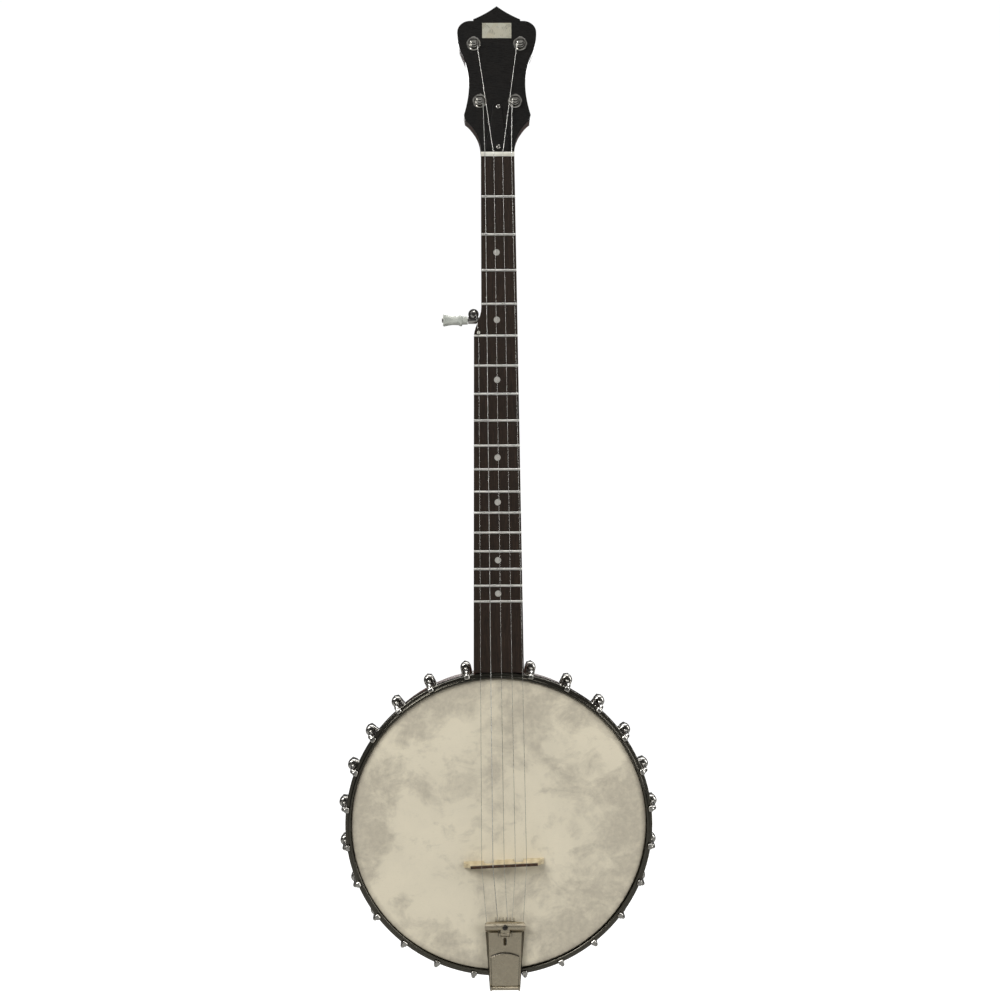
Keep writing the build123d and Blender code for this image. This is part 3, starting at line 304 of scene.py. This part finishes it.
board_wood = wood(
    "fingerboard_wood", shade(22, 16, 12), shade(38, 29, 22), shade(62, 47, 36), (520, 520, 9),
    pores=0.75, gloss=0.5, depth=2e-5, shine=0.18,
)
neck_wood = wood(
    "neck_lacquered_wood", shade(38, 20, 13), shade(66, 36, 22), shade(96, 56, 34), (190, 190, 7),
    pores=0.35, gloss=0.28, coat=0.45, depth=1.2e-5,
)
maple = wood(
    "bridge_maple", shade(184, 166, 130), shade(208, 193, 158), shade(224, 211, 180), (26, 420, 420),
    pores=0.3, gloss=0.42, depth=1.5e-5,
)
ebony = wood(
    "bridge_ebony", shade(40, 26, 16), shade(62, 42, 28), shade(84, 60, 40), (30, 600, 600),
    pores=0.5, gloss=0.3, coat=0.2, depth=1.2e-5,
)


def bent_rim():
    """Stained laminated maple bent round the pot: grain around it, and thin glue lines by radius."""
    made = Surface("rim_laminations", coat_weight=0.5, coat_roughness=0.1)
    spot, radius = made.around(POT, (1.1, 240, 240))
    streaks = made.noise(spot, 2.6, 6, 0.62, 0.5)
    flecks = made.noise(made.around(POT, (9, 900, 900))[0], 1.4, 3, 0.6)
    layer = made.math("FRACT", made.math("MULTIPLY", radius, PLIES_PER_METRE))
    glue = made.math("LESS_THAN", layer, 0.055)
    stains = ((0.3, shade(52, 26, 14)), (0.52, shade(86, 46, 26)), (0.75, shade(118, 70, 40)))
    color = made.ramp(streaks, *stains)
    color = made.mix(made.fit(flecks, 0.62, 0.72, 0.0, 0.5), color, shade(40, 20, 12))
    made.set("Base Color", made.mix(made.math("MULTIPLY", glue, 0.75), color, shade(28, 14, 8)))
    made.set("Roughness", made.fit(streaks, 0.3, 0.7, 0.24, 0.38))
    made.bump((streaks, 1.2e-5), (flecks, 6e-6))
    return made.material


# ---------------------------------------------------------------- head, plastics, shell
def parchment():
    """The mottled head: cream film with cloudy grey patches, fibres, and grime close to the hoop."""
    made = Surface("parchment_head", specular_ior_level=0.35)
    own = made.place()
    broad = made.noise(made.place(shift=(0.31, 0.0, 0.17)), 11.5, 6, 0.62, 0.35)
    blotch = made.noise(made.place((1.0, 1.0, 1.25), (0.9, 0.0, 0.42)), 34, 8, 0.68, 0.5)
    fine = made.noise(own, 190, 5, 0.7, 0.3)
    fibres = made.noise(made.place((420, 420, 900), turn=(0, 0.6, 0)), 1.0, 4, 0.6, 1.5)
    radius = made.around(POT, (1, 1, 1))[1]
    edge = made.fit(radius, 0.092, 0.141, 0.0, 0.1)
    cloud = made.math("ADD", made.math("MULTIPLY", broad, 0.5), made.math("MULTIPLY", blotch, 0.5))
    cloud = made.math("ADD", cloud, edge)
    patch = made.fit(cloud, 0.49, 0.59)
    torn = made.math("MULTIPLY", patch, made.fit(fine, 0.28, 0.62, 0.45, 1.0))
    warm = made.mix(made.fit(broad, 0.3, 0.7), shade(222, 213, 190), shade(209, 201, 180))
    color = made.mix(made.math("MULTIPLY", torn, 0.85), warm, shade(176, 168, 151))
    color = made.mix(made.fit(fibres, 0.56, 0.72, 0.0, 0.14), color, shade(150, 142, 120))
    grime = made.fit(radius, 0.1345, 0.1405, 0.0, 0.55)
    uneven = made.math("MULTIPLY", grime, made.fit(fine, 0.2, 0.7, 0.5, 1.0))
    color = made.mix(uneven, color, shade(92, 86, 74))
    made.set("Base Color", color)
    made.set("Roughness", made.fit(fine, 0.3, 0.7, 0.46, 0.62))
    made.bump((fibres, 2.2e-5), (blotch, 1.2e-4), (fine, 1.5e-5))
    return made.material


def pearl(name, pale, mid, deep, scale):
    """Shell or pearl plastic: folded bands inside uneven flakes, under a clear polish."""
    made = Surface(name, coat_weight=0.9, coat_roughness=0.06, specular_ior_level=0.5)
    warped = made.noise(made.place(), scale * 0.6, 3, 0.5, 1.2)
    flake = made.cells(made.place(), scale)
    tone = made.node("SeparateColor", {0: flake})
    bands = made.wave(made.place((1.0, 0.7, 1.4), turn=(0.3, 0.5, 0.2)), scale * 0.9, 14.0, 3.0)
    folds = made.math("ADD", made.math("MULTIPLY", bands, 0.45), made.math("MULTIPLY", warped, 0.3))
    mixed = made.math("ADD", folds, made.math("MULTIPLY", tone.outputs[0], 0.4))
    color = made.ramp(mixed, (0.22, deep), (0.5, mid), (0.86, pale))
    tint = made.math("MULTIPLY", tone.outputs[1], 0.16)
    made.set("Base Color", made.mix(tint, color, shade(196, 206, 200)))
    made.set("Roughness", made.fit(mixed, 0.2, 0.9, 0.34, 0.2))
    made.set("Metallic", made.fit(mixed, 0.4, 0.9, 0.0, 0.25))
    made.bump((mixed, 1.2e-5))
    return made.material


def lacquer():
    """Black headstock face: deep gloss with faint ripple, dust and hairline polishing marks."""
    made = Surface("black_lacquer", coat_weight=0.12, coat_roughness=0.1, specular_ior_level=0.2)
    dust = made.noise(made.place(), 900, 4, 0.7)
    ripple = made.noise(made.place(), 130, 3, 0.5, 0.6)
    marks = made.noise(made.place((180, 180, 2600), turn=(0, 0.5, 0)), 1.0, 3, 0.7)
    color = made.mix(made.fit(ripple, 0.3, 0.7), shade(10, 9, 8), shade(17, 15, 13))
    made.set("Base Color", made.mix(made.fit(dust, 0.7, 0.82, 0.0, 0.25), color, shade(60, 57, 50)))
    made.set("Roughness", made.fit(marks, 0.35, 0.7, 0.24, 0.4))
    made.bump((ripple, 1.6e-5), (marks, 4e-6))
    return made.material


def bone():
    """Polished bone: fine darker canals lengthwise, and a yellower tint in places."""
    made = Surface("nut_bone", coat_weight=0.3, coat_roughness=0.15)
    canals = made.noise(made.place((90, 1500, 1500)), 1.0, 4, 0.65)
    tint = made.noise(made.place(), 160, 3, 0.5)
    color = made.mix(made.fit(tint, 0.3, 0.7), shade(214, 213, 204), shade(196, 192, 178))
    made.set("Base Color", made.mix(made.fit(canals, 0.56, 0.72, 0.0, 0.5), color, shade(160, 154, 138)))
    made.set("Roughness", made.fit(canals, 0.3, 0.7, 0.26, 0.42))
    made.bump((canals, 1e-5))
    return made.material


head_skin = parchment()
shell = pearl("shell_inlay", shade(184, 179, 160), shade(156, 151, 132), shade(112, 107, 92), 210)
dot_shell = pearl("dot_shell", shade(196, 192, 186), shade(170, 166, 158), shade(128, 124, 116), 420)
button_pearl = pearl("button_pearl", shade(210, 212, 203), shade(180, 182, 173), shade(140, 142, 133), 260)
black_face = lacquer()
nut_bone = bone()

FINISHES = {
    chrome: "bracket_hooks bracket_shoes bracket_nuts shoe_screws peg_bushings fifth_peg_housing "
    "fifth_peg_post fifth_peg_shaft truss_cover_screws",
    hoop_nickel_painted_dark: "tension_hoop",
    nickel: "tailpiece_body tailpiece_cover tailpiece_pressure_bar tailpiece_hinge_pins",
    dark_steel: "tailpiece_screw truss_rod_nut tailpiece_bolt tailpiece_nuts",
    rod_steel: "coordinator_rod truss_rod flesh_hoop rod_nuts neck_hanger_bolts",
    ring_brass: "tone_ring",
    fret_metal: "frets",
    string_steel: "string_1 string_2 string_3 string_5",
    wound_string(): "string_4",
    board_wood: "fingerboard",
    neck_wood: "neck",
    maple: "bridge_body",
    ebony: "bridge_cap",
    bent_rim(): "rim",
    head_skin: "head",
    shell: "name_plate",
    dot_shell: "position_dots",
    button_pearl: "fifth_peg_button",
    black_face: "headstock_overlay truss_rod_cover",
    nut_bone: "nut fifth_string_pip",
}


def finish(piece, material):
    """Gives a piece one material in place of what it came with."""
    piece.data.materials.clear()
    piece.data.materials.append(material)


for material, names in FINISHES.items():
    for name in names.split():
        finish(nodes[name], material)
for number in range(1, 5):
    finish(nodes[f"peg_button_{number}"], button_pearl)
    for part in ("housing", "post", "shaft"):
        finish(nodes[f"peg_{part}_{number}"], chrome)


# ---------------------------------------------------------------- extra pieces
def wire(name, points, radius, material, body):
    """A round wire along points, as a mesh, riding on a CAD body."""
    curve = bpy.data.curves.new(name, "CURVE")
    curve.dimensions = "3D"
    curve.bevel_depth = radius
    curve.bevel_resolution = 3
    curve.use_fill_caps = True
    run = curve.splines.new("POLY")
    run.points.add(len(points) - 1)
    for spot, point in zip(run.points, points):
        spot.co = (*point, 1.0)
    drawn = bpy.data.objects.new(name + "_line", curve)
    bpy.context.scene.collection.objects.link(drawn)
    bpy.context.view_layer.update()
    mesh = bpy.data.meshes.new_from_object(drawn)
    bpy.data.objects.remove(drawn)
    piece = bpy.data.objects.new(name, mesh)
    bpy.context.scene.collection.objects.link(piece)
    mesh.materials.clear()
    mesh.materials.append(material)
    for face in mesh.polygons:
        face.use_smooth = True
    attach(piece, body)


def coil(center, across, along, radius, start, end, turns, first=0.0):
    """Points of a coil around an axis, from height start to end."""
    up = along.cross(across)
    steps = round(turns * POINTS_PER_TURN)
    points = []
    for i in range(steps + 1):
        angle = first + 2 * math.pi * turns * i / steps
        height = start + (end - start) * i / steps
        points.append(center + radius * (across * math.cos(angle) + up * math.sin(angle)) + along * height)
    return points


def wound_on_post(number, string):
    """The turns of a string around its post's waist, and its cut end through the post's hole."""
    gauge = STRING_RADIUS[string]
    material = nodes[f"string_{string}"].data.materials[0]
    joint = joints[f"peg_{number}_post"]
    center = Vector(joint["pos_m"])
    axis = Vector(joint["axis"])
    bottom, top = WAIST
    points = coil(
        center, RIGHT, axis, TURNS_REACH - gauge, bottom, top, (top - bottom) / (2 * gauge), 0.4 * number
    )
    wire(f"string_{string}_turns", points, gauge, material, f"post_{number}")
    up = axis.cross(RIGHT)
    hole = center + axis * POST_HOLE
    start, bend, stop = CUT_END
    tail = [hole + up * start, hole + up * bend, hole + up * stop + axis * 0.5 * MM]
    wire(f"string_{string}_end", tail, gauge * 0.95, material, f"post_{number}")


def wound_on_fifth_post():
    """The fifth string's turns, near the top of the side peg's post."""
    joint = joints["fifth_peg_post"]
    axis = Vector(joint["axis"])
    points = coil(Vector(joint["pos_m"]), RIGHT, axis, FIFTH_TURNS_RADIUS, *FIFTH_WAIST, 2.5)
    wire("string_5_turns", points, STRING_RADIUS[5], string_steel, "fifth_post")


def hooked_on_tailpiece(string, side_shade_mask):
    """The loop of a string on its tab of the tailpiece, and the twist that closes the loop."""
    tab = POT + Vector((TAIL_X + side_shade_mask, -TAB_RISE, TAB_LEVEL))
    loop = [
        tab + Vector((LOOP_WIDE * math.cos(angle), 0, LOOP_TALL * math.sin(angle)))
        for angle in [2 * math.pi * i / LOOP_STEPS for i in range(LOOP_STEPS + 1)]
    ]
    wire(f"string_{string}_loop", loop, LOOP_WIRE, string_steel, "instrument")
    radius = STRING_RADIUS[string] + 0.12 * MM
    foot = tab + Vector((0, 0, TWIST_FOOT))
    twist = coil(foot, RIGHT, Vector((0, 0, 1)), radius, 0, TWIST_LENGTH, TWIST_TURNS)
    wire(f"string_{string}_twist", twist, TWIST_WIRE, string_steel, "instrument")


def arched_edge(name, radius, gauge, material):
    """A line along the arched end of the tailpiece's cover."""
    center = POT + Vector((TAIL_X, -COVER_RISE, ARCH_LEVEL))
    arch = [
        center + radius * Vector((math.sin(angle), 0, math.cos(angle)))
        for angle in [ARCH_HALF_TURN * (2 * i / ARCH_STEPS - 1) for i in range(ARCH_STEPS + 1)]
    ]
    wire(name, arch, gauge, material, "cover")


for string, number in PEG_OF_STRING.items():
    wound_on_post(number, string)
wound_on_fifth_post()
for string in STRING_RADIUS:
    hooked_on_tailpiece(string, (3 - string) * TAB_SPACING)
arched_edge("cover_bead", 26.0 * MM, 0.28 * MM, nickel)
# Painted shade: a thin dark wire just outside the bead stands in for the shaded line along the cover's
# arched edge.
arched_edge("cover_edge_painted_shade", 26.75 * MM, 0.3 * MM, dark_steel)


# ---------------------------------------------------------------- stage
def make_floor():
    """A floor well under the object: white to the camera, darker where the metal mirrors it."""
    mesh = bpy.data.meshes.new("floor")
    shape = bmesh.new()
    bmesh.ops.create_grid(shape, x_segments=1, y_segments=1, size=FLOOR_REACH)
    shape.to_mesh(mesh)
    shape.free()
    floor = bpy.data.objects.new("floor", mesh)
    floor.location = (0, 0, cad_box[0][2] - FLOOR_DROP)
    bpy.context.scene.collection.objects.link(floor)
    plain = Surface("pale_floor", roughness=0.9)
    plain.set("Base Color", (0.3, 0.3, 0.295, 1.0))
    plain.set("Emission Color", (1.0, 1.0, 1.0, 1.0))
    seen = plain.node("LightPath").outputs["Is Camera Ray"]
    plain.set("Emission Strength", plain.math("MULTIPLY", seen, 0.95))
    mesh.materials.append(plain.material)


def area_light(name, place, target, size, power):
    lamp = bpy.data.lights.new(name, "AREA")
    lamp.shape = "RECTANGLE"
    lamp.size, lamp.size_y = size
    lamp.energy = power
    light = bpy.data.objects.new(name, lamp)
    light.location = place
    aim = Vector(target) - Vector(place)
    light.rotation_euler = aim.to_track_quat("-Z", "Y").to_euler()
    bpy.context.scene.collection.objects.link(light)


def make_world():
    """White behind the object, and a dim room with a lighter ceiling in its reflections."""
    world = bpy.data.worlds.new("studio")
    bpy.context.scene.world = world
    world.use_nodes = True
    tree = world.node_tree
    tree.nodes.clear()
    output = tree.nodes.new("ShaderNodeOutputWorld")
    seen = tree.nodes.new("ShaderNodeBackground")
    seen.inputs[0].default_value = (1, 1, 1, 1)
    seen.inputs[1].default_value = BACKDROP_LEVEL
    room = tree.nodes.new("ShaderNodeBackground")
    room.inputs[1].default_value = 1.0
    direction = tree.nodes.new("ShaderNodeTexCoord")
    parts = tree.nodes.new("ShaderNodeSeparateXYZ")
    tree.links.new(direction.outputs["Generated"], parts.inputs[0])
    ramp = tree.nodes.new("ShaderNodeValToRGB")
    spots = ramp.color_ramp.elements
    spots.new(0.5)
    for spot, (position, level) in zip(spots, ROOM_LEVELS):
        spot.position = position
        spot.color = (level, level * 0.99, level * 0.97, 1)
    half = tree.nodes.new("ShaderNodeMath")
    half.operation = "MULTIPLY_ADD"
    half.inputs[1].default_value = 0.5
    half.inputs[2].default_value = 0.5
    tree.links.new(parts.outputs["Z"], half.inputs[0])
    tree.links.new(half.outputs[0], ramp.inputs[0])
    tree.links.new(ramp.outputs[0], room.inputs[0])
    path = tree.nodes.new("ShaderNodeLightPath")
    choose = tree.nodes.new("ShaderNodeMixShader")
    tree.links.new(path.outputs["Is Camera Ray"], choose.inputs[0])
    tree.links.new(room.outputs[0], choose.inputs[1])
    tree.links.new(seen.outputs[0], choose.inputs[2])
    tree.links.new(choose.outputs[0], output.inputs[0])


def make_camera():
    """The photograph's view: slightly above the pot, and a little left of the middle."""
    lens = bpy.data.cameras.new("camera")
    lens.sensor_width = 36.0
    lens.lens = FOCAL_LENGTH
    lens.clip_end = 60
    camera = bpy.data.objects.new("camera", lens)
    camera.location = CAMERA_PLACE
    pitch, yaw, roll = (math.radians(angle) for angle in CAMERA_ANGLES)
    facing = Euler((math.pi / 2 + pitch, 0, -yaw), "XYZ").to_matrix()
    camera.rotation_euler = (facing @ Matrix.Rotation(roll, 3, "Z")).to_euler()
    bpy.context.scene.collection.objects.link(camera)
    bpy.context.scene.camera = camera


make_floor()
make_world()
area_light("key", (-1.5, -2.2, 1.3), (0, 0, -0.35), (1.4, 1.6), 68)
area_light("fill", (1.9, -1.8, 0.2), (0, 0, -0.4), (1.2, 1.8), 30)
area_light("top", (0.2, 0.3, 1.9), (0, 0, -0.4), (1.6, 1.0), 24)
area_light("back", (0.3, 2.4, 0.8), (0, 0, -0.3), (2.0, 1.4), 38)
make_camera()
bpy.context.scene.view_settings.view_transform = "Standard"
